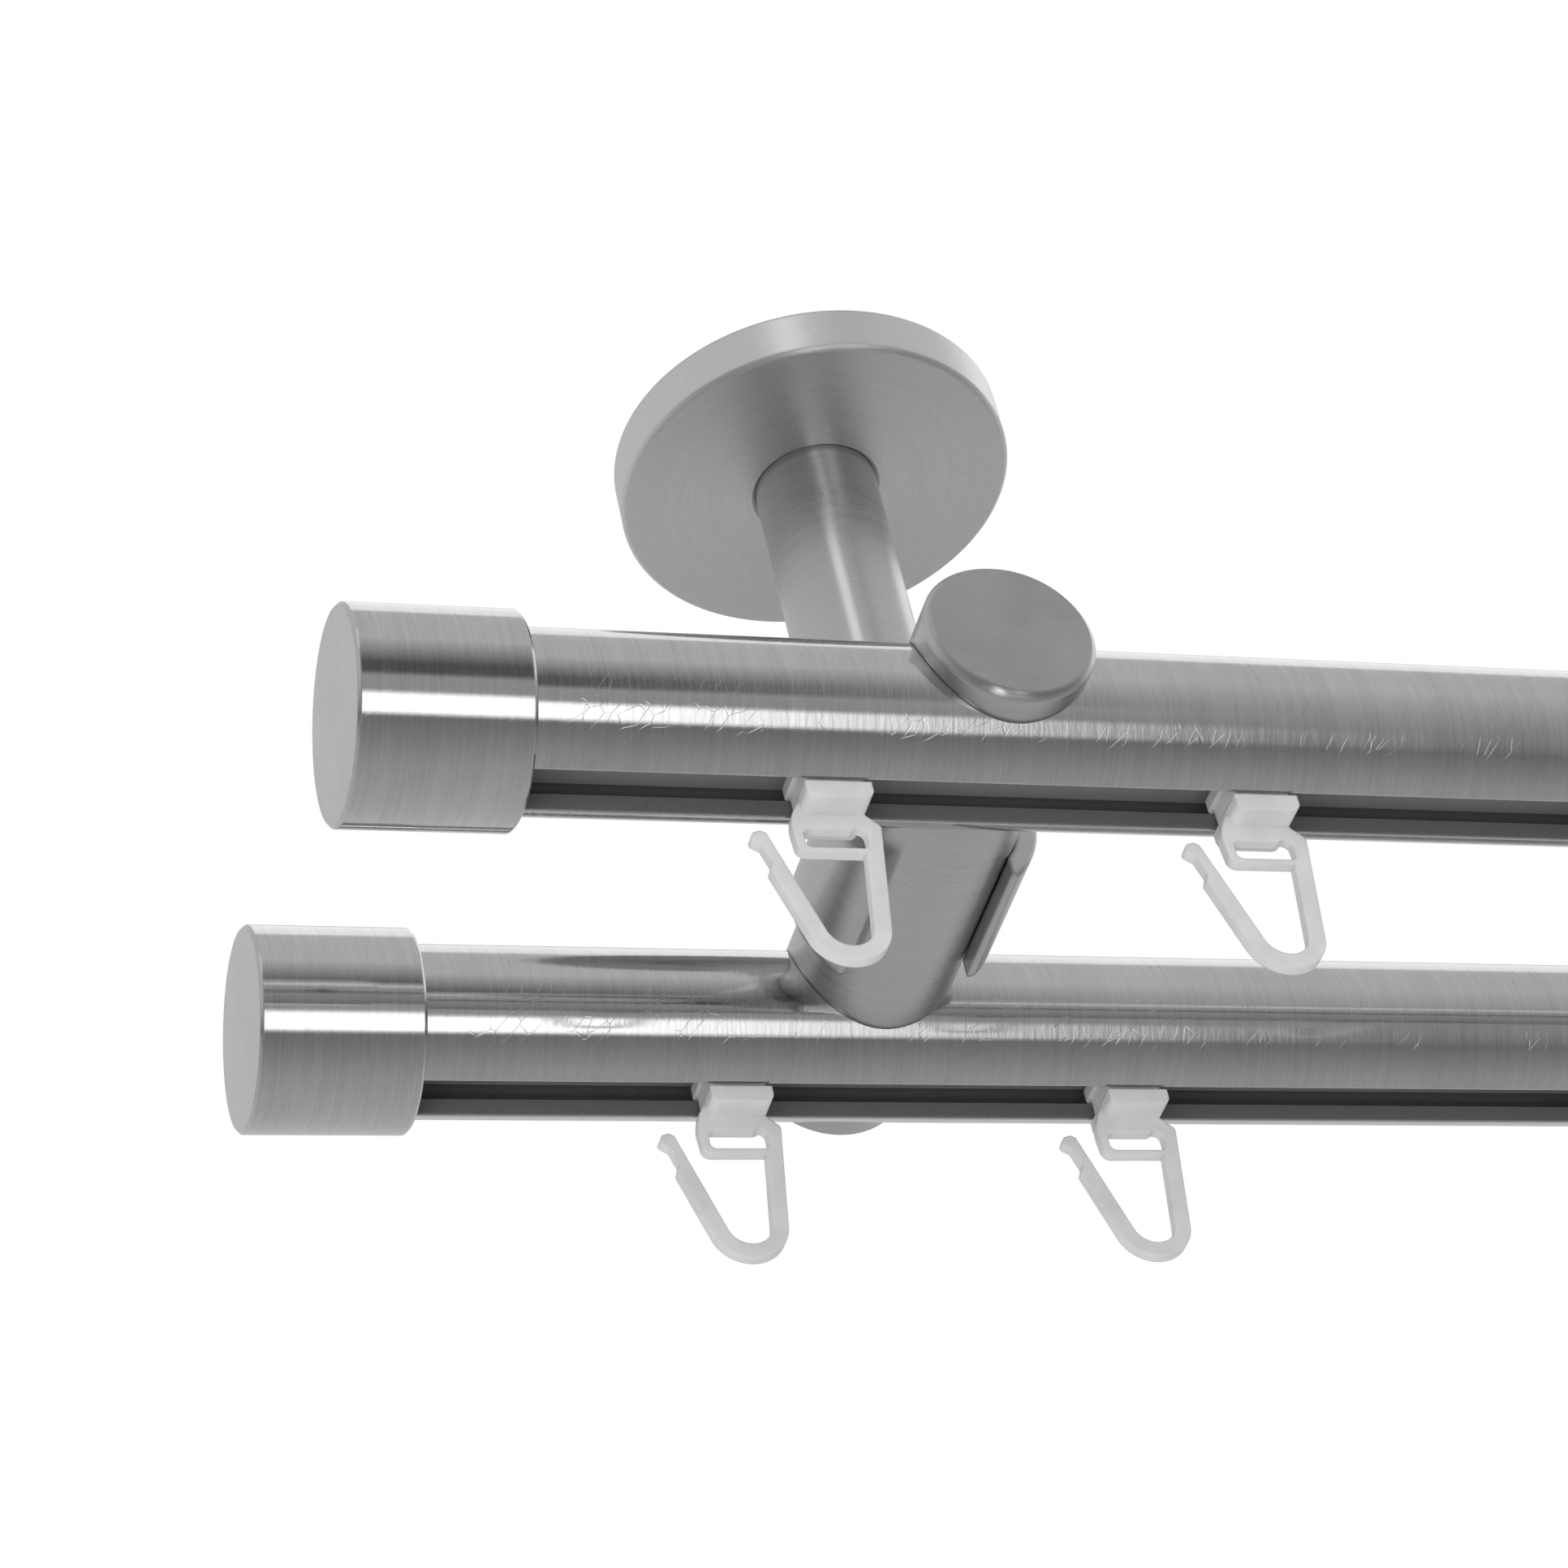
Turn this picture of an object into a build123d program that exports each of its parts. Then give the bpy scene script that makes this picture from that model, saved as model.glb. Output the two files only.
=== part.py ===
from build123d import *
import os

os.makedirs("parts", exist_ok=True)

# Ceiling-mounted double curtain pole with inner runners, sizes in millimetres.
# Origin: centre of the left bracket's ceiling face. X runs along the poles,
# Y from the front pole to the rear pole, Z up.

# Whole object
overall_length = 500.0
bracket_inset = 73.0
pole_spacing = 53.0
pole_drop = 70.5

# Poles, each clamped with its own small shift along X
pole_radius = 10.0
pole_wall = 1.2
slot_width = 6.2
lip_height = 2.8
track_height = 5.6
web_thickness = 1.4
track_corner = 0.8
lip_edge = 0.25
front_pole_shift = 1.2
rear_pole_shift = -0.2

# End caps
cap_radius = 11.8
cap_length = 18.8
cap_floor = 3.0
cap_edge = 0.35
cap_screw_inset = 7.0

# Cross arms
arm_radius = 9.7
arm_overhang = 12.7
arm_rise = 4.3
arm_edge = 0.7

# Collars
collar_wall = 2.3
collar_length = 18.2
collar_slot = 14.8
collar_tip = 8.9
collar_edge = 0.3

# Stems, roses and ceiling plates
stem_radius = 7.5
stem_edge = 0.4
rose_radius = 24.1
rose_height = 6.3
rose_wall = 1.3
rose_edge = 0.5
plate_thickness = 4.0
plate_edge = 0.3
ceiling_hole_radius = 2.25
ceiling_hole_head = 4.5
ceiling_hole_margin = 2.4
ceiling_hole_count = 3

# Fasteners
plate_screw_radius = 3.0
plate_screw_head = 5.8
plate_screw_length = 16.0
plate_screw_key = 4.0
hole_spare = 2.0
stud_radius = 3.0
stud_length = 14.0
stud_key = 3.0
pole_screw_radius = 2.0
pole_screw_key = 2.0
screw_sink = 0.8
small_screw_radius = 1.5
small_screw_key = 1.5
rose_screw_height = 3.0
key_depth = 1.2

# Gliders with pleat hooks, heights measured down from the pole's axis
gliders_per_pole = 9
second_glider_step = 48.9
front_first_inset = 53.2
front_third_inset = 151.0
front_last_inset = 55.9
rear_first_inset = 55.9
rear_third_inset = 172.0
rear_last_inset = 53.2
head_length = 7.2
head_width = 8.8
head_thickness = 1.6
head_corner = 1.2
neck_length = 6.4
flange_length = 7.4
flange_width = 7.0
flange_height = 2.2
flange_round = 1.1
body_neck_left = 3.15
body_neck_right = 3.3
body_left = 5.1
swell_depth = 14.8
swell_bulge = 0.63
body_taper = 0.2
body_bottom = 17.35
body_round = 1.1
shoulder_depth = 13.6
shoulder_round = 0.7
eye_left = 4.05
eye_right = 3.05
eye_height = 2.5
eye_round = 0.8
eye_relief_radius = 0.85
eye_relief_rise = 0.35
bar_thickness = 0.65
hook_thickness = 1.3
hook_width = 1.9
leg_lean = 6.8
bend_offset = 1.4
bend_depth = 27.1
bend_radius = 3.65
free_arm_lean = 17.8
free_arm_length = 9.0
tip_length = 5.1
tip_step = 0.7
tip_slope = 0.9
barb_length = 1.85
barb_corner = 0.5

# Clearances
pole_clearance = 0.1
arm_clearance = 0.1
thread_clearance = 0.05
stem_clearance = 0.05
plate_clearance = 0.9
slot_clearance = 0.4
run_clearance = 0.3
seat_gap = 0.02

# Places worked out from the sizes above
bracket_spacing = overall_length - 2 * bracket_inset
bracket_places = {"left": 0.0, "right": bracket_spacing}
pole_places = {"front": -pole_spacing / 2, "rear": pole_spacing / 2}
left_face = -bracket_inset
right_face = overall_length - bracket_inset
pole_length = overall_length - 2 * cap_floor
pole_shifts = {"front": front_pole_shift, "rear": rear_pole_shift}
arm_z = -pole_drop + arm_rise
arm_length = pole_spacing + 2 * arm_overhang
collar_radius = arm_radius + arm_clearance + collar_wall
plate_radius = rose_radius - rose_wall - plate_clearance
ceiling_hole_circle = 2 * (plate_radius - ceiling_hole_head - ceiling_hole_margin)
glider_insets = {
    "front": (front_first_inset, front_third_inset, front_last_inset),
    "rear": (rear_first_inset, rear_third_inset, rear_last_inset),
}
inner_radius = pole_radius - pole_wall
lip_top = -pole_radius + lip_height
slot_edge = -((pole_radius**2 - (slot_width / 2) ** 2) ** 0.5)


def save(piece, name):
    piece.part.label = name
    export_step(piece.part, f"parts/{name}.step")


def hex_key(top, key, depth):
    with BuildSketch(top) as recess:
        RegularPolygon(key / 2, 6, major_radius=False)
    extrude(to_extrude=recess.sketch, amount=-depth, mode=Mode.SUBTRACT)


def make_pole(x, y, name):
    with BuildSketch() as track:
        Circle(inner_radius)
        with Locations((0, lip_top + track_height / 2)):
            Rectangle(2 * pole_radius, track_height, mode=Mode.INTERSECT)
        fillet(track.vertices(), track_corner)
    with BuildSketch() as hollow:
        Circle(inner_radius)
        with Locations((0, lip_top + track_height + web_thickness + pole_radius)):
            Rectangle(2 * pole_radius, 2 * pole_radius, mode=Mode.INTERSECT)
        fillet(hollow.vertices(), track_corner)
    section = Plane((x, y, -pole_drop), x_dir=(0, 1, 0), z_dir=(1, 0, 0))
    with BuildPart() as pole:
        with BuildSketch(section):
            Circle(pole_radius)
            with Locations((0, lip_top)):
                Rectangle(slot_width, 4 * pole_radius, align=(Align.CENTER, Align.MAX), mode=Mode.SUBTRACT)
            add(track.sketch, mode=Mode.SUBTRACT)
            add(hollow.sketch, mode=Mode.SUBTRACT)
        extrude(amount=pole_length)
        lips = pole.edges().filter_by(Axis.X).group_by(Axis.Z)[0]
        fillet(lips, lip_edge)
    save(pole, name)


def make_cap(x, direction, y, name):
    face = Plane((x, y, -pole_drop), x_dir=(0, 1, 0), z_dir=(direction, 0, 0))
    screw_x = x + direction * (cap_length - cap_screw_inset)
    with BuildPart() as cap:
        with BuildSketch(face):
            Circle(cap_radius)
        extrude(amount=cap_length)
        with BuildSketch(face.offset(cap_floor)):
            Circle(pole_radius + pole_clearance)
        extrude(amount=cap_length, mode=Mode.SUBTRACT)
        chamfer(cap.edges().filter_by(GeomType.CIRCLE).sort_by(SortBy.RADIUS)[-2:], cap_edge)
        with BuildSketch(Plane((screw_x, y, -pole_drop), x_dir=(1, 0, 0), z_dir=(0, 1, 0))):
            Circle(small_screw_radius)
        extrude(amount=2 * cap_radius, mode=Mode.SUBTRACT)
    save(cap, name)
    return screw_x


def make_cap_screws(places):
    with BuildPart() as cap_screws:
        for x, y in places:
            seat = Plane((x, y + pole_radius + seat_gap, -pole_drop), x_dir=(1, 0, 0), z_dir=(0, 1, 0))
            top = seat.offset(cap_radius - pole_radius - 2 * seat_gap)
            with BuildSketch(seat):
                Circle(small_screw_radius - thread_clearance)
            extrude(amount=cap_radius - pole_radius - 2 * seat_gap)
            hex_key(top, small_screw_key, key_depth)
    save(cap_screws, "cap_grub_screws")


def make_arm(x, name):
    with BuildPart() as arm:
        with BuildSketch(Plane((x, -arm_length / 2, arm_z), x_dir=(1, 0, 0), z_dir=(0, 1, 0))):
            Circle(arm_radius)
        extrude(amount=arm_length)
        chamfer(arm.edges().filter_by(GeomType.CIRCLE), arm_edge)
        for y in pole_places.values():
            with BuildSketch(Plane((x - arm_radius, y, -pole_drop), x_dir=(0, 1, 0), z_dir=(1, 0, 0))):
                Circle(pole_radius + pole_clearance)
            extrude(amount=2 * arm_radius, mode=Mode.SUBTRACT)
        with BuildSketch(Plane((x, 0, -pole_drop))):
            with Locations(*[(0, y) for y in pole_places.values()]):
                Circle(pole_screw_radius)
        extrude(amount=arm_rise + arm_radius, mode=Mode.SUBTRACT)
    save(arm, name)


def make_pole_screws(x, name):
    bottom = -pole_drop + pole_radius + seat_gap
    length = arm_rise + arm_radius - pole_radius - screw_sink
    with BuildPart() as pole_screws:
        for y in pole_places.values():
            with BuildSketch(Plane((x, y, bottom))):
                Circle(pole_screw_radius - thread_clearance)
            extrude(amount=length)
            hex_key(Plane((x, y, bottom + length)), pole_screw_key, key_depth)
    save(pole_screws, name)


def make_collar(x, name):
    with BuildPart() as collar:
        with BuildSketch(Plane((x, -collar_length / 2, arm_z), x_dir=(1, 0, 0), z_dir=(0, -1, 0))):
            Circle(collar_radius)
            Circle(arm_radius + arm_clearance, mode=Mode.SUBTRACT)
            below = (Align.CENTER, Align.MAX)
            Rectangle(collar_slot, 2 * collar_radius, align=below, mode=Mode.SUBTRACT)
            with Locations((0, -collar_tip)):
                Rectangle(2 * collar_radius, collar_radius, align=below, mode=Mode.SUBTRACT)
        extrude(amount=-collar_length)
        ends = collar.faces().filter_by(Axis.Y)
        chamfer(ends.edges().filter_by(GeomType.CIRCLE).group_by(SortBy.RADIUS)[-1], collar_edge)
        with BuildSketch(Plane((x, 0, arm_z))):
            Circle(stud_radius)
        extrude(amount=2 * collar_radius, mode=Mode.SUBTRACT)
    save(collar, name)


def make_stem(x, name):
    top = -plate_thickness
    with BuildPart() as stem:
        with BuildSketch(Plane((x, 0, arm_z))):
            Circle(stem_radius)
        extrude(amount=top - arm_z)
        chamfer(stem.edges().group_by(Axis.Z)[-1], stem_edge)
        with BuildSketch(Plane((x, -stem_radius, arm_z), x_dir=(1, 0, 0), z_dir=(0, 1, 0))):
            Circle(collar_radius + seat_gap)
        extrude(amount=2 * stem_radius, mode=Mode.SUBTRACT)
        with BuildSketch(Plane((x, 0, arm_z))):
            Circle(stud_radius)
        extrude(amount=arm_radius + stud_length + seat_gap, mode=Mode.SUBTRACT)
        with BuildSketch(Plane((x, 0, top))):
            Circle(plate_screw_radius)
        extrude(amount=plate_thickness - plate_screw_length - hole_spare, mode=Mode.SUBTRACT)
    save(stem, name)


def make_stud(x, name):
    bottom = arm_z + arm_radius + seat_gap
    with BuildPart() as stud:
        with BuildSketch(Plane((x, 0, bottom))):
            Circle(stud_radius - thread_clearance)
        extrude(amount=stud_length - 2 * seat_gap)
        hex_key(Plane((x, 0, bottom + stud_length - 2 * seat_gap)), stud_key, key_depth)
    save(stud, name)


def make_rose(x, name):
    floor = -rose_height + rose_wall
    with BuildPart() as rose:
        with BuildSketch(Plane((x, 0, -rose_height))):
            Circle(rose_radius)
        extrude(amount=rose_height)
        chamfer(rose.edges().group_by(Axis.Z)[0], rose_edge)
        with BuildSketch(Plane((x, 0, floor))):
            Circle(rose_radius - rose_wall)
        extrude(amount=rose_height, mode=Mode.SUBTRACT)
        with BuildSketch(Plane((x, 0, -rose_height))):
            Circle(stem_radius + stem_clearance)
        extrude(amount=rose_height, mode=Mode.SUBTRACT)
        with BuildSketch(Plane((x, 0, -rose_screw_height), x_dir=(1, 0, 0), z_dir=(0, 1, 0))):
            Circle(small_screw_radius)
        extrude(amount=2 * rose_radius, mode=Mode.SUBTRACT)
        rim = rose.edges().filter_by(GeomType.CIRCLE).group_by(Axis.Z)[0]
        chamfer(rim.sort_by(SortBy.RADIUS)[0], rose_wall / 3)
    save(rose, name)


def make_rose_screw(x, name):
    length = rose_radius - plate_radius - 2 * seat_gap
    seat = Plane((x, plate_radius + seat_gap, -rose_screw_height), x_dir=(1, 0, 0), z_dir=(0, 1, 0))
    with BuildPart() as rose_screw:
        with BuildSketch(seat):
            Circle(small_screw_radius - thread_clearance)
        extrude(amount=length)
        hex_key(seat.offset(length), small_screw_key, key_depth)
    save(rose_screw, name)


def make_plate(x, name):
    with BuildPart() as plate:
        with BuildSketch(Plane((x, 0, -plate_thickness))):
            Circle(plate_radius)
        extrude(amount=plate_thickness)
        chamfer(plate.edges().group_by(Axis.Z)[0], plate_edge)
        with Locations((x, 0, 0)):
            CounterSinkHole(plate_screw_radius, plate_screw_head, counter_sink_angle=90)
        with Locations(Plane((x, 0, -plate_thickness), x_dir=(1, 0, 0), z_dir=(0, 0, -1))):
            with PolarLocations(ceiling_hole_circle / 2, ceiling_hole_count, start_angle=90):
                CounterSinkHole(ceiling_hole_radius, ceiling_hole_head, counter_sink_angle=90)
    save(plate, name)


def make_plate_screw(x, name):
    rise = plate_screw_head - thread_clearance
    with BuildPart() as plate_screw:
        with BuildSketch(Plane((x, 0, 0), x_dir=(1, 0, 0), z_dir=(0, -1, 0))):
            with BuildLine():
                Polyline(
                    (0, 0),
                    (rise, 0),
                    (plate_screw_radius - thread_clearance, plate_screw_radius - plate_screw_head),
                    (plate_screw_radius - thread_clearance, -plate_screw_length),
                    (0, -plate_screw_length),
                    close=True,
                )
            make_face()
        revolve(axis=Axis((x, 0, 0), (0, 0, 1)))
        hex_key(Plane((x, 0, 0)), plate_screw_key, 2 * key_depth)
    save(plate_screw, name)


def make_glider(x, y, name):
    upright = Plane((x, y, -pole_drop), x_dir=(1, 0, 0), z_dir=(0, -1, 0))
    flange_top = slot_edge - slot_clearance
    flange_bottom = flange_top - flange_height
    head_bottom = lip_top + run_clearance
    eye_top = bar_thickness - body_bottom + eye_height
    half_width = hook_width / 2
    bend =Vector(-bend_offset, -bend_depth)
    leg_up = Vector(0, 1).rotate(Axis.Z, -leg_lean)
    arm_up = Vector(0, 1).rotate(Axis.Z, free_arm_lean)
    leg_foot = bend + leg_up.rotate(Axis.Z, -90) * bend_radius
    arm_foot = bend + arm_up.rotate(Axis.Z, 90) * bend_radius
    leg_side = leg_foot + leg_up.rotate(Axis.Z, -90) * half_width
    shoulder = leg_side + leg_up * ((-shoulder_depth - leg_side.Y) / leg_up.Y)
    leg_length = (bar_thickness - body_bottom - leg_foot.Y) / leg_up.Y
    arm_head = arm_foot + arm_up * free_arm_length

    # Plate of the hook, from the flange down to the bar under the eye
    with BuildSketch() as body:
        with BuildLine():
            swell = SagittaArc((-body_neck_left, flange_top), (-body_left, -swell_depth), -swell_bulge)
            Polyline(
                swell @ 1,
                (body_taper - body_left, -body_bottom),
                shoulder - leg_up * (body_bottom - shoulder_depth),
                shoulder,
                (body_neck_right, flange_bottom),
                (body_neck_right, flange_top),
                swell @ 0,
            )
        make_face()
        fillet(body.vertices().sort_by_distance((-body_left, -body_bottom))[0], body_round)
        fillet(body.vertices().sort_by_distance(shoulder)[0], shoulder_round)

    # Thinner end of the free arm with its barb, drawn upright from the middle of the arm
    with BuildSketch() as tip:
        with BuildLine():
            Polyline(
                (-half_width, 0),
                (tip_step - half_width, tip_slope),
                (tip_step - half_width, tip_length - barb_length),
                (-half_width, tip_length - barb_length + tip_slope),
                (-half_width, tip_length),
                (half_width, tip_length),
                (half_width, 0),
                close=True,
            )
        make_face()
        chamfer(tip.vertices().group_by(Axis.Y)[-1], barb_corner)

    with BuildPart() as glider:
        with BuildSketch(upright):
            with BuildLine() as path:
                leg = Line(leg_foot + leg_up * leg_length, leg_foot)
                TangentArc(leg @ 1, arm_foot, tangent=leg % 1)
                Line(arm_foot, arm_head)
            trace(path.line, hook_width)
            add(body.sketch)
            with Locations(arm_head):
                add(tip.sketch, rotation=free_arm_lean)
            with Locations(((eye_right - eye_left) / 2, bar_thickness - body_bottom + eye_height / 2)):
                RectangleRounded(eye_left + eye_right, eye_height, eye_round, mode=Mode.SUBTRACT)
            with Locations((eye_right - eye_relief_radius, eye_top + eye_relief_rise - eye_relief_radius)):
                Circle(eye_relief_radius, mode=Mode.SUBTRACT)
        extrude(amount=hook_thickness / 2, both=True)
        with BuildSketch(upright) as flange:
            with Locations((0, flange_bottom)):
                Rectangle(flange_length, flange_height, align=(Align.CENTER, Align.MIN))
            fillet(flange.vertices().group_by(Axis.Y)[0], flange_round)
        extrude(amount=flange_width / 2, both=True)
        with BuildSketch(Plane((x, y, -pole_drop + flange_top))):
            Rectangle(neck_length, slot_width - 2 * slot_clearance)
        extrude(amount=head_bottom - flange_top)
        with BuildSketch(Plane((x, y, -pole_drop + head_bottom))) as head:
            Rectangle(head_length, head_width)
            chamfer(head.vertices(), head_corner)
        extrude(amount=head_thickness)
    save(glider, name)


# The first two gliders stand apart from the rest, which are evenly spaced from the third to the last
def glider_places(first_inset, third_inset, last_inset):
    first = left_face + first_inset
    third = left_face + third_inset
    pitch = (right_face - last_inset - third) / (gliders_per_pole - 3)
    even = [third + pitch * step for step in range(gliders_per_pole - 2)]
    return [first, first + second_glider_step] + even


for side, x in bracket_places.items():
    make_plate(x, f"{side}_ceiling_plate")
    make_plate_screw(x, f"{side}_plate_screw")
    make_rose(x, f"{side}_ceiling_rose")
    make_rose_screw(x, f"{side}_rose_grub_screw")
    make_stem(x, f"{side}_stem")
    make_stud(x, f"{side}_stem_stud")
    make_collar(x, f"{side}_collar")
    make_arm(x, f"{side}_cross_arm")
    make_pole_screws(x, f"{side}_pole_grub_screws")

cap_screw_places = []
for row, y in pole_places.items():
    left_end = left_face + pole_shifts[row]
    right_end = right_face + pole_shifts[row]
    make_pole(left_end + cap_floor, y, f"{row}_pole")
    for side, x, direction in (("left", left_end, 1), ("right", right_end, -1)):
        screw_x = make_cap(x, direction, y, f"{row}_{side}_end_cap")
        cap_screw_places.append((screw_x, y))
    for number, x in enumerate(glider_places(*glider_insets[row]), start=1):
        make_glider(x, y, f"{row}_glider_{number}")
make_cap_screws(cap_screw_places)
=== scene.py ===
import math
import bpy
from mathutils import Matrix, Vector

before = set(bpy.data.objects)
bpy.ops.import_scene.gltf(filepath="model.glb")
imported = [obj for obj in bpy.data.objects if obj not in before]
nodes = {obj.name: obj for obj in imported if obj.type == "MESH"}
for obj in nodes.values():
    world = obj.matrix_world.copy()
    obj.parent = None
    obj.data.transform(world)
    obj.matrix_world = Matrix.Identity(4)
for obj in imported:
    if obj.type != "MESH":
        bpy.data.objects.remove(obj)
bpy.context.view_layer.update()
print("frame loaded,", len(nodes), "nodes")

bracketX = {"left": 0.0, "right": 0.354}
poleY = 0.0265  # each pole's distance from the middle
poleZ = -0.0705
noiseRange = (0.3, 0.7)  # most of a noise texture's values lie in here


# Small helpers for node trees

def newNode(tree, kind, **settings):
    made = tree.nodes.new(kind)
    for key, value in settings.items():
        setattr(made, key, value)
    return made


def link(tree, source, target):
    tree.links.new(source, target)


def calc(tree, operation, *values):
    made = newNode(tree, "ShaderNodeMath", operation=operation)
    for index, value in enumerate(values):
        if isinstance(value, (int, float)):
            made.inputs[index].default_value = value
        else:
            link(tree, value, made.inputs[index])
    return made.outputs[0]


# Sum of pairs, each a value and its share
def weigh(tree, *pairs):
    parts = [calc(tree, "MULTIPLY", value, share) for value, share in pairs]
    total = parts[0]
    for part in parts[1:]:
        total = calc(tree, "ADD", total, part)
    return total


def spread(tree, value, low, high, toLow=0.0, toHigh=1.0):
    made = newNode(tree, "ShaderNodeMapRange")
    link(tree, value, made.inputs["Value"])
    made.inputs["From Min"].default_value = low
    made.inputs["From Max"].default_value = high
    made.inputs["To Min"].default_value = toLow
    made.inputs["To Max"].default_value = toHigh
    return made.outputs["Result"]


def noise(tree, vector, scale, detail=2.0, roughness=0.5):
    made = newNode(tree, "ShaderNodeTexNoise")
    link(tree, vector, made.inputs["Vector"])
    made.inputs["Scale"].default_value = scale
    made.inputs["Detail"].default_value = detail
    made.inputs["Roughness"].default_value = roughness
    return made.outputs["Fac"]


def ringNoise(tree, radius, scale, **settings):
    made = newNode(tree, "ShaderNodeTexNoise", noise_dimensions="1D")
    link(tree, radius, made.inputs["W"])
    made.inputs["Scale"].default_value = scale
    for key, value in settings.items():
        made.inputs[key].default_value = value
    return spread(tree, made.outputs["Fac"], *noiseRange)


def scaleBy(tree, vector, stretch):
    made = newNode(tree, "ShaderNodeVectorMath", operation="MULTIPLY")
    link(tree, vector, made.inputs[0])
    if isinstance(stretch, tuple):
        made.inputs[1].default_value = stretch
    else:
        link(tree, stretch, made.inputs[1])
    return made.outputs[0]


def clamp(tree, value):
    made = newNode(tree, "ShaderNodeClamp")
    link(tree, value, made.inputs["Value"])
    return made.outputs[0]


def axesOf(tree, vector):
    made = newNode(tree, "ShaderNodeSeparateXYZ")
    link(tree, vector, made.inputs[0])
    return made.outputs


def newGroup(name, inputs, outputs):
    tree = bpy.data.node_groups.new(name, "ShaderNodeTree")
    for label, kind, value in inputs:
        socket = tree.interface.new_socket(label, in_out="INPUT", socket_type=kind)
        if value is not None:
            socket.default_value = value
    for label in outputs:
        tree.interface.new_socket(label, in_out="OUTPUT", socket_type="NodeSocketFloat")
    return tree, newNode(tree, "NodeGroupInput").outputs, newNode(tree, "NodeGroupOutput").inputs


# Brush lines: noise that is stretched along the brushing and very fine across it
lineLook = dict(fine=1.0, fineShare=0.65, broad=0.22, broadShare=0.35, patches=70.0)


def makeBrushLines(look):
    tree, given, result = newGroup(
        "brushLines",
        [("Vector", "NodeSocketVector", None), ("Stretch", "NodeSocketVector", (4000, 60, 60))],
        ["Lines", "Patches"],
    )
    scaled = scaleBy(tree, given["Vector"], given["Stretch"])
    fine = noise(tree, scaled, look["fine"], 3.0, 0.6)
    broad = noise(tree, scaled, look["broad"])
    both = weigh(tree, (fine, look["fineShare"]), (broad, look["broadShare"]))
    link(tree, spread(tree, both, *noiseRange), result["Lines"])
    patches = noise(tree, given["Vector"], look["patches"], 3.0, 0.55)
    link(tree, spread(tree, patches, *noiseRange), result["Patches"])
    return tree


# Turned rings round an axis through the middle of the given coordinates, along Z
ringLook = dict(fineDetail=3.0, broad=420.0)


def makeTurnedRings(look):
    tree, given, result = newGroup(
        "turnedRings",
        [("Vector", "NodeSocketVector", None), ("Rings", "NodeSocketFloat", 3500.0)],
        ["Lines", "Broad", "Radius"],
    )
    x, y, _ = axesOf(tree, given["Vector"])
    squares = calc(tree, "ADD", calc(tree, "MULTIPLY", x, x), calc(tree, "MULTIPLY", y, y))
    radius = calc(tree, "SQRT", squares)
    link(tree, radius, result["Radius"])
    turned = calc(tree, "MULTIPLY", radius, given["Rings"])
    link(tree, ringNoise(tree, turned, 1.0, Detail=look["fineDetail"]), result["Lines"])
    link(tree, ringNoise(tree, radius, look["broad"]), result["Broad"])
    return tree


# Small pits and dust specks, sparse
def makeSpecks():
    tree, given, result = newGroup(
        "specks",
        [("Vector", "NodeSocketVector", None), ("Density", "NodeSocketFloat", 260.0),
         ("Radius", "NodeSocketFloat", 0.035)],
        ["Mask"],
    )
    cells = newNode(tree, "ShaderNodeTexVoronoi", feature="F1")
    link(tree, given["Vector"], cells.inputs["Vector"])
    link(tree, given["Density"], cells.inputs["Scale"])
    inside = calc(tree, "SUBTRACT", given["Radius"], cells.outputs["Distance"])
    link(tree, clamp(tree, calc(tree, "DIVIDE", inside, given["Radius"])), result["Mask"])
    return tree


# Fine scratches that cross each other, in patches
scratchLook = dict(patches=160.0, patchEdge=(0.48, 0.58))


def makeScratches(look):
    tree, given, result = newGroup(
        "scratches",
        [("Vector", "NodeSocketVector", None), ("Stretch", "NodeSocketVector", (700, 330, 330)),
         ("Width", "NodeSocketFloat", 0.02)],
        ["Mask"],
    )
    cells = newNode(tree, "ShaderNodeTexVoronoi", feature="DISTANCE_TO_EDGE")
    cells.inputs["Scale"].default_value = 1.0
    link(tree, scaleBy(tree, given["Vector"], given["Stretch"]), cells.inputs["Vector"])
    away = calc(tree, "DIVIDE", cells.outputs["Distance"], given["Width"])
    near = clamp(tree, calc(tree, "SUBTRACT", 1.0, away))
    patches = spread(tree, noise(tree, given["Vector"], look["patches"]), *look["patchEdge"])
    link(tree, calc(tree, "MULTIPLY", near, patches), result["Mask"])
    return tree


groups = {
    "lines": makeBrushLines(lineLook),
    "rings": makeTurnedRings(ringLook),
    "specks": makeSpecks(),
    "scratches": makeScratches(scratchLook),
}
print("node groups made,", len(groups))


def useGroup(tree, name, vector, **values):
    made = newNode(tree, "ShaderNodeGroup", node_tree=groups[name])
    link(tree, vector, made.inputs["Vector"])
    for key, value in values.items():
        made.inputs[key].default_value = value
    return made.outputs


# Helpers for materials

def startMaterial(name, metallic=0.0):
    material = bpy.data.materials.new(name)
    material.use_nodes = True
    tree = material.node_tree
    shader = tree.nodes["Principled BSDF"]
    shader.inputs["Metallic"].default_value = metallic
    where = newNode(tree, "ShaderNodeTexCoord").outputs["Object"]
    return material, tree, shader, where


def centred(tree, where, place, turn=(0, 0, 0)):
    mapping = newNode(tree, "ShaderNodeMapping", vector_type="TEXTURE")
    mapping.inputs["Location"].default_value = place
    mapping.inputs["Rotation"].default_value = turn
    link(tree, where, mapping.inputs["Vector"])
    return mapping.outputs["Vector"]


def grey(level):
    return (level, level, level)


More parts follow.
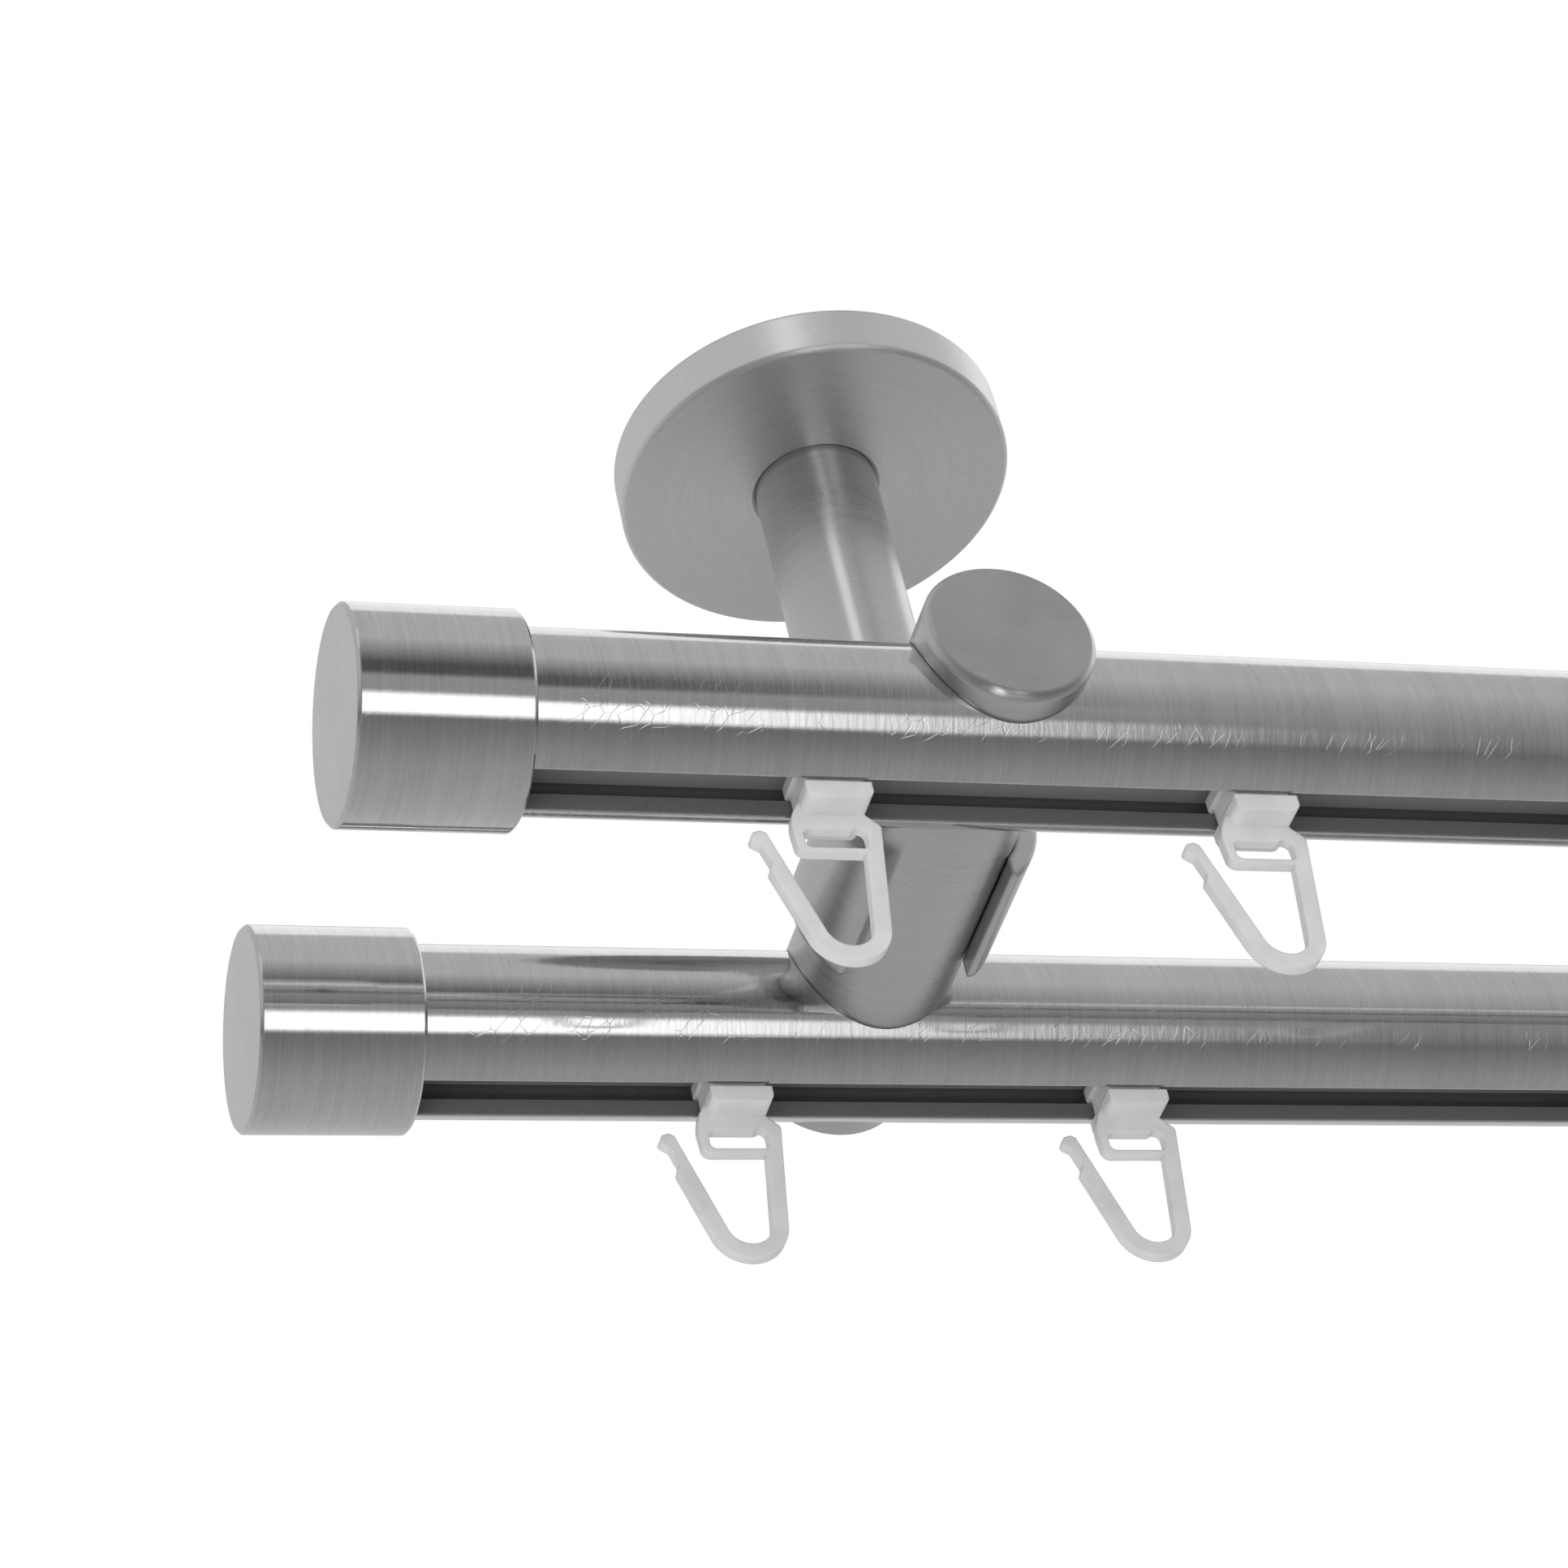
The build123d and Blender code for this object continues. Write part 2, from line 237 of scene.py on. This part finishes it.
# Colour between two tones, and past them where the factor is
def twoTone(tree, factor, dark, light):
    made = newNode(tree, "ShaderNodeMix", data_type="RGBA", clamp_factor=False)
    made.inputs["A"].default_value = (*dark, 1)
    made.inputs["B"].default_value = (*light, 1)
    link(tree, factor, made.inputs["Factor"])
    return made.outputs["Result"]


def mixColours(tree, factor, a, b):
    made = newNode(tree, "ShaderNodeMix", data_type="RGBA")
    link(tree, factor, made.inputs["Factor"])
    link(tree, a, made.inputs["A"])
    link(tree, b, made.inputs["B"])
    return made.outputs["Result"]


# Relief over softened edges
def bump(tree, shader, height, distance, softness):
    soft = newNode(tree, "ShaderNodeBevel", samples=6)
    if isinstance(softness, float):
        soft.inputs["Radius"].default_value = softness
    else:
        link(tree, softness, soft.inputs["Radius"])
    made = newNode(tree, "ShaderNodeBump")
    made.inputs["Distance"].default_value = distance
    link(tree, height, made.inputs["Height"])
    link(tree, soft.outputs["Normal"], made.inputs["Normal"])
    link(tree, made.outputs["Normal"], shader.inputs["Normal"])


# Sheen that follows lines turned round an axis
def turnedSheen(tree, shader, amount, axis):
    shader.inputs["Anisotropic"].default_value = amount
    shader.inputs["Anisotropic Rotation"].default_value = 0.25
    tangent = newNode(tree, "ShaderNodeTangent", direction_type="RADIAL", axis=axis)
    link(tree, tangent.outputs[0], shader.inputs["Tangent"])


# Brushed metal of a turned or drawn piece. Depth, dashes, drawn and marks are heights of relief, and
# soft is how far the edges are rounded off.
metalLooks = {
    "poleMetal": dict(
        axis="X", dark=0.53, light=0.7, rough=(0.09, 0.14), aniso=0.5, soft=1.0e-4,
        depth=1.2e-6, dashes=3.2e-6, drawn=0.5e-6, marks=4.0e-6,
    ),
    "capMetal": dict(
        axis="X", dark=0.52, light=0.71, rough=(0.08, 0.12), aniso=0.5, soft=2.5e-4,
        depth=1.4e-6, dashes=2.4e-6, drawn=0.4e-6, marks=1.5e-6,
    ),
    "armMetal": dict(
        axis="Y", dark=0.52, light=0.66, rough=(0.24, 0.34), aniso=0.6, soft=7.0e-4,
        depth=2.0e-6, dashes=3.0e-6, drawn=0.0, marks=1.0e-6,
    ),
    "stemMetal": dict(
        axis="Z", dark=0.56, light=0.69, rough=(0.24, 0.33), aniso=0.7, soft=1.0e-4,
        depth=1.8e-6, dashes=1.8e-6, drawn=0.0, marks=1.0e-6,
    ),
}
# Scales of the brushing, along the piece's axis and across it, and their shares of the tone
brushing = dict(
    lines=(3400, 70), dashes=(1900, 420), drawn=(22, 3600), scratchTurn=(0.3, 0.5, 0.4),
    lineShare=0.6, patchShare=0.25, dashShare=0.15, pitDepth=-6.0,
)
armFacePaintedShade = dict(start=0.0388, end=0.0391, darker=0.9)  # painted shade on the arm's flat ends, by distance from its middle
# The walls of the slot and the track, by distance from the pole's axis and height over it. The levels are
# painted light and shade: the walls near white, the lips and the roof under the web darker.
slotLook = dict(
    radius=9.86e-3, radiusFade=2.0e-5, lip=7.7e-3, lipFade=2.0e-4, roof=-2.5e-3, roofFade=5.0e-4,
    wall=0.98, edge=0.15, top=0.5, rough=0.6, grain=2200.0, grainRange=(0.88, 1.0),
)


def alongAxis(axis, along, across):
    return tuple(along if name == axis else across for name in "XYZ")


def stretched(tree, where, stretch):
    return spread(tree, noise(tree, scaleBy(tree, where, stretch), 1.0), *noiseRange)


# Distance from the axis of the nearer pole, and height over it
def poleRadius(tree, where):
    _, y, z = axesOf(tree, where)
    across = calc(tree, "SUBTRACT", calc(tree, "ABSOLUTE", y), poleY)
    up = calc(tree, "SUBTRACT", z, poleZ)
    squares = calc(tree, "ADD", calc(tree, "MULTIPLY", across, across), calc(tree, "MULTIPLY", up, up))
    return calc(tree, "SQRT", squares), up


# A dull grey film in place of the brushed outside, with painted light and shade in its levels
def lineSlot(tree, shader, where, colour, roughness, look):
    radius, up = poleRadius(tree, where)
    inside = spread(tree, radius, look["radius"] - look["radiusFade"], look["radius"], 1.0, 0.0)
    link(tree, calc(tree, "SUBTRACT", 1.0, inside), shader.inputs["Metallic"])
    # painted shade under the web and on the lips, and painted light on the walls near white
    wall = spread(tree, up, look["roof"], look["roof"] + look["roofFade"], look["wall"], look["top"])
    lip = spread(tree, radius, look["lip"], look["lip"] + look["lipFade"], 1.0, look["edge"])
    level = calc(tree, "MINIMUM", wall, lip)
    grain = spread(tree, noise(tree, where, look["grain"]), *noiseRange, *look["grainRange"])
    dull = newNode(tree, "ShaderNodeCombineColor")
    for socket in dull.inputs:
        link(tree, calc(tree, "MULTIPLY", level, grain), socket)
    rough = newNode(tree, "ShaderNodeMix", data_type="FLOAT")
    link(tree, inside, rough.inputs["Factor"])
    link(tree, roughness, rough.inputs["A"])
    rough.inputs["B"].default_value = look["rough"]
    return mixColours(tree, inside, colour, dull.outputs["Color"]), rough.outputs["Result"]


def makeBrushedMetal(name, look):
    material, tree, shader, where = startMaterial(name, 1.0)
    axis = look["axis"]
    lines = useGroup(tree, "lines", where, Stretch=alongAxis(axis, *brushing["lines"]))
    specks = useGroup(tree, "specks", where)
    scratches = useGroup(tree, "scratches", centred(tree, where, (0, 0, 0), brushing["scratchTurn"]))
    dashes = stretched(tree, where, alongAxis(axis, *brushing["dashes"]))
    drawn = stretched(tree, where, alongAxis(axis, *brushing["drawn"]))
    tone = weigh(
        tree, (lines["Lines"], brushing["lineShare"]), (lines["Patches"], brushing["patchShare"]),
        (dashes, brushing["dashShare"]),
    )
    # painted shade: a darker base colour on the arm's flat ends
    if name == "armMetal":
        out = calc(tree, "ABSOLUTE", axesOf(tree, where)[1])
        faceShade = spread(tree, out, armFacePaintedShade["start"], armFacePaintedShade["end"], 0.0, armFacePaintedShade["darker"])
        tone = calc(tree, "SUBTRACT", tone, faceShade)
    colour = twoTone(tree, tone, grey(look["dark"]), grey(look["light"]))
    roughness = spread(tree, tone, 0.0, 1.0, *look["rough"])
    if name == "poleMetal":
        colour, roughness = lineSlot(tree, shader, where, colour, roughness, slotLook)
    link(tree, colour, shader.inputs["Base Color"])
    link(tree, roughness, shader.inputs["Roughness"])
    depth = look["depth"]
    height = weigh(
        tree, (lines["Lines"], 1.0), (specks["Mask"], brushing["pitDepth"]),
        (scratches["Mask"], -look["marks"] / depth), (dashes, look["dashes"] / depth),
        (drawn, look["drawn"] / depth),
    )
    bump(tree, shader, height, depth, look["soft"])
    turnedSheen(tree, shader, look["aniso"], axis)
    return material


# Turned rose: its rim and the ring round the stem get a painted highlight, a lighter base colour. Stretches
# are distances from its axis.
roseLook = dict(
    dark=0.6, light=0.74, rough=(0.34, 0.42), aniso=0.6, relief=1.5e-6,
    rings=4200.0, ringShare=0.3, broadShare=0.2, grain=3600.0, grainShare=0.5,
    pits=180.0, pitSize=0.03, pitDepth=-8.0, rim=(23.7e-3, 23.9e-3), rimLift=0.7,
    bore=(7.6e-3, 8.1e-3), softStart=(0.012, 0.015), soft=(1.0e-5, 6.0e-4),
)


def makeRoseMetal(name, x, look):
    material, tree, shader, where = startMaterial(name, 1.0)
    rings = useGroup(tree, "rings", centred(tree, where, (x, 0, 0)), Rings=look["rings"])
    specks = useGroup(tree, "specks", where, Density=look["pits"], Radius=look["pitSize"])
    grain = spread(tree, noise(tree, where, look["grain"]), *noiseRange)
    tone = weigh(
        tree, (rings["Lines"], look["ringShare"]), (rings["Broad"], look["broadShare"]),
        (grain, look["grainShare"]),
    )
    # painted highlights on the rim and on the ring round the stem
    rim = spread(tree, rings["Radius"], *look["rim"])
    bore = spread(tree, rings["Radius"], *look["bore"], 1.0, 0.0)
    toneWithHighlights = weigh(tree, (tone, 1.0), (rim, look["rimLift"]), (bore, 1.0))
    link(tree, twoTone(tree, toneWithHighlights, grey(look["dark"]), grey(look["light"])), shader.inputs["Base Color"])
    link(tree, spread(tree, tone, 0.0, 1.0, *look["rough"]), shader.inputs["Roughness"])
    height = weigh(tree, (rings["Lines"], 1.0), (specks["Mask"], look["pitDepth"]))
    softness = spread(tree, rings["Radius"], *look["softStart"], *look["soft"])
    bump(tree, shader, height, look["relief"], softness)
    turnedSheen(tree, shader, look["aniso"], "Z")
    return material


screwLook = dict(
    dark=(0.3, 0.3, 0.31), light=(0.5, 0.5, 0.5), rough=(0.3, 0.45), grain=1800.0, relief=4.0e-6,
    soft=1.0e-4,
)


def makeScrewSteel(look):
    material, tree, shader, where = startMaterial("screwSteel", 1.0)
    grain = noise(tree, where, look["grain"], 3.0)
    link(tree, twoTone(tree, grain, look["dark"], look["light"]), shader.inputs["Base Color"])
    link(tree, spread(tree, grain, *noiseRange, *look["rough"]), shader.inputs["Roughness"])
    bump(tree, shader, grain, look["relief"], look["soft"])
    return material


zincLook = dict(
    dark=(0.52, 0.54, 0.58), light=(0.68, 0.69, 0.7), rough=(0.25, 0.42), flakes=420.0, waves=900.0,
    relief=6.0e-6, soft=1.5e-4,
)


def makeZincSteel(look):
    material, tree, shader, where = startMaterial("zincSteel", 1.0)
    flakes = newNode(tree, "ShaderNodeTexVoronoi", feature="F1")
    link(tree, where, flakes.inputs["Vector"])
    flakes.inputs["Scale"].default_value = look["flakes"]
    tone = newNode(tree, "ShaderNodeRGBToBW")
    link(tree, flakes.outputs["Color"], tone.inputs[0])
    colour = twoTone(tree, tone.outputs[0], look["dark"], look["light"])
    link(tree, colour, shader.inputs["Base Color"])
    link(tree, spread(tree, tone.outputs[0], 0.0, 1.0, *look["rough"]), shader.inputs["Roughness"])
    bump(tree, shader, noise(tree, where, look["waves"]), look["relief"], look["soft"])
    return material


gliderLook = dict(
    dark=(0.62, 0.62, 0.615), light=(0.68, 0.68, 0.675), rough=(0.32, 0.44), cloud=260.0,
    cloudRange=(0.35, 0.65), grain=3200.0, grainShare=0.3, relief=2.0e-5, soft=3.0e-4,
    inside=0.25, insideDepth=0.0012, ior=1.45,
)


def makeGliderPlastic(look):
    material, tree, shader, where = startMaterial("gliderPlastic")
    cloud = noise(tree, where, look["cloud"], 3.0)
    grain = noise(tree, where, look["grain"])
    tone = spread(tree, cloud, *look["cloudRange"])
    link(tree, twoTone(tree, tone, look["dark"], look["light"]), shader.inputs["Base Color"])
    link(tree, spread(tree, grain, *noiseRange, *look["rough"]), shader.inputs["Roughness"])
    height = weigh(tree, (grain, look["grainShare"]), (cloud, 1.0))
    bump(tree, shader, height, look["relief"], look["soft"])
    shader.inputs["Subsurface Weight"].default_value = look["inside"]
    shader.inputs["Subsurface Radius"].default_value = (1.0, 1.0, 1.0)
    shader.inputs["Subsurface Scale"].default_value = look["insideDepth"]
    shader.inputs["IOR"].default_value = look["ior"]
    return material


materials = {name: makeBrushedMetal(name, look) for name, look in metalLooks.items()}
for side, x in bracketX.items():
    materials[f"{side}RoseMetal"] = makeRoseMetal(f"{side}RoseMetal", x, roseLook)
materials["screwSteel"] = makeScrewSteel(screwLook)
materials["zincSteel"] = makeZincSteel(zincLook)
materials["gliderPlastic"] = makeGliderPlastic(gliderLook)
print("materials made,", len(materials))

# The first word found in a node's name gives its material
wordMaterials = {
    "glider": "gliderPlastic",
    "screw": "screwSteel",
    "stud": "screwSteel",
    "plate": "zincSteel",
    "rose": "RoseMetal",
    "cap": "capMetal",
    "pole": "poleMetal",
    "stem": "stemMetal",
    "collar": "armMetal",
    "arm": "armMetal",
}


def materialFor(node):
    name = next(material for word, material in wordMaterials.items() if word in node)
    if name == "RoseMetal":
        name = node.split("_")[0] + name
    return materials[name]


for name, piece in nodes.items():
    dressed = materialFor(name)
    if piece.material_slots:
        for place in piece.material_slots:
            place.material = dressed
    else:
        piece.data.materials.append(dressed)
print("nodes dressed")


# Camera, found from the photo's straight edges and ellipses
cameraLook = dict(
    place=(-0.15804, -0.34012, -0.35538),
    yaw=23.076,
    pitch=39.133,
    roll=-13.241,
    focalPixels=5128.0,
    framePixels=1932.0,
    sensor=36.0,
)


def makeCamera(look):
    data = bpy.data.cameras.new("photoCamera")
    data.sensor_width = look["sensor"]
    data.lens = look["sensor"] * look["focalPixels"] / look["framePixels"]
    data.clip_start = 0.01
    camera = bpy.data.objects.new("photoCamera", data)
    turned = (
        Matrix.Rotation(math.radians(-look["yaw"]), 4, "Z")
        @ Matrix.Rotation(math.radians(90 + look["pitch"]), 4, "X")
        @ Matrix.Rotation(math.radians(look["roll"]), 4, "Z")
    )
    camera.matrix_world = Matrix.Translation(look["place"]) @ turned
    bpy.context.collection.objects.link(camera)
    bpy.context.scene.camera = camera


makeCamera(cameraLook)
print("camera set")


# Studio: pale floor, soft lamps and a white background
floorLook = dict(height=-1.2, middle=(0.18, 0), radius=2.4, fade=(0.7, 2.2), colour=grey(0.9), rough=0.9)


def makeFloor(look):
    place = (*look["middle"], look["height"])
    bpy.ops.mesh.primitive_circle_add(
        vertices=96, radius=look["radius"], fill_type="NGON", location=place,
    )
    floor = bpy.context.object
    floor.name = "floor"
    material, tree, shader, where = startMaterial("floorPaper")
    far = newNode(tree, "ShaderNodeVectorMath", operation="LENGTH")
    link(tree, where, far.inputs[0])
    link(tree, spread(tree, far.outputs["Value"], *look["fade"], 1.0, 0.0), shader.inputs["Alpha"])
    shader.inputs["Base Color"].default_value = (*look["colour"], 1)
    shader.inputs["Roughness"].default_value = look["rough"]
    floor.data.materials.append(material)
    floor.visible_glossy = False


# Metal reflects a plain studio, as pairs of an angle round the poles and a level: 0 is level to the
# front, 90 is up and -90 is down. The walls are 0.6 and the floor 0.4, darker in front. A lamp stands in
# front below level, with a dark board over it, and a pale panel hangs behind.
roomBands = {
    "walls": [(-180, 0.6), (-90, 0.4), (-40, 0.2), (45, 0.6)],
    "lamp": [
        (-180, 0.6), (-90, 0.4), (-40, 0.2), (-35, 2.0), (-20, 2.0), (-15, 0.4), (0, 0.4), (5, 0.1),
        (15, 0.1), (45, 0.6), (90, 0.6), (95, 1.1), (125, 1.1), (130, 0.6),
    ],
    "pastLamp": [(-180, 0.6), (-90, 0.4), (-40, 0.2), (45, 0.6), (90, 0.6), (95, 1.1), (125, 1.1), (130, 0.6)],
}
roomBlends = {"lamp": (0.05, 0.15), "pastLamp": (0.25, 0.4)}  # where each begins in the X direction
softLevel = 0.72  # light that the room gives to pale surfaces


def makeBands(tree, turned, bands):
    ramp = newNode(tree, "ShaderNodeValToRGB")
    link(tree, turned, ramp.inputs[0])
    marks = ramp.color_ramp.elements
    marks.remove(marks[1])
    for index, (degrees, level) in enumerate(bands):
        at = (degrees + 180) / 360
        mark = marks[0] if index == 0 else marks.new(at)
        mark.position = at
        mark.color = (*grey(level), 1)
    return ramp.outputs[0]


def newBackground(tree, colour=None, strength=1.0):
    made = newNode(tree, "ShaderNodeBackground")
    made.inputs["Color"].default_value = (1, 1, 1, 1)
    made.inputs["Strength"].default_value = strength
    if colour:
        link(tree, colour, made.inputs["Color"])
    return made.outputs[0]


def mixShaders(tree, factor, first, second):
    made = newNode(tree, "ShaderNodeMixShader")
    for socket, source in zip(made.inputs, (factor, first, second)):
        link(tree, source, socket)
    return made.outputs[0]


def makeWorld():
    world = bpy.data.worlds.new("studio")
    bpy.context.scene.world = world
    world.use_nodes = True
    tree = world.node_tree
    tree.nodes.clear()
    x, y, z = axesOf(tree, newNode(tree, "ShaderNodeTexCoord").outputs["Generated"])
    angle = calc(tree, "ARCTAN2", z, calc(tree, "MULTIPLY", y, -1.0))
    turned = spread(tree, angle, -math.pi, math.pi)
    bands = makeBands(tree, turned, roomBands["walls"])
    for part, stretch in roomBlends.items():
        over = makeBands(tree, turned, roomBands[part])
        bands = mixColours(tree, spread(tree, x, *stretch), bands, over)
    light = newNode(tree, "ShaderNodeLightPath").outputs
    seen = calc(tree, "MAXIMUM", light["Is Camera Ray"], light["Is Transmission Ray"])
    soft = newBackground(tree, strength=softLevel)
    lit = mixShaders(tree, light["Is Glossy Ray"], soft, newBackground(tree, bands))
    out = newNode(tree, "ShaderNodeOutputWorld")
    link(tree, mixShaders(tree, seen, lit, newBackground(tree)), out.inputs[0])


lamps = {
    "highStrip": dict(
        place=(-0.235, -0.68, 0.52), aim=(0.0, 0.0, -0.03), size=(0.2, 0.4), watts=0.2, inMetal=True,
    ),
    "lowStrip": dict(
        place=(-0.1, -0.62, -0.55), aim=(0.0, 0.0, -0.02), size=(0.09, 0.3), watts=0.25, inMetal=True,
    ),
    "lowFill": dict(
        place=(-0.35, -0.45, -0.5), aim=(0.05, 0.0, -0.07), size=(0.5, 0.5), watts=2.0, inMetal=False,
    ),
}


def makeLamp(name, look):
    data = bpy.data.lights.new(name, "AREA")
    data.shape = "RECTANGLE"
    data.size, data.size_y = look["size"]
    data.energy = look["watts"]
    lamp = bpy.data.objects.new(name, data)
    lamp.visible_glossy = look["inMetal"]
    towards = Vector(look["aim"]) - Vector(look["place"])
    turned = towards.to_track_quat("-Z", "Y").to_matrix().to_4x4()
    lamp.matrix_world = Matrix.Translation(look["place"]) @ turned
    bpy.context.collection.objects.link(lamp)


makeFloor(floorLook)
makeWorld()
for name, look in lamps.items():
    makeLamp(name, look)
bpy.context.scene.view_settings.view_transform = "Standard"
print("studio set")
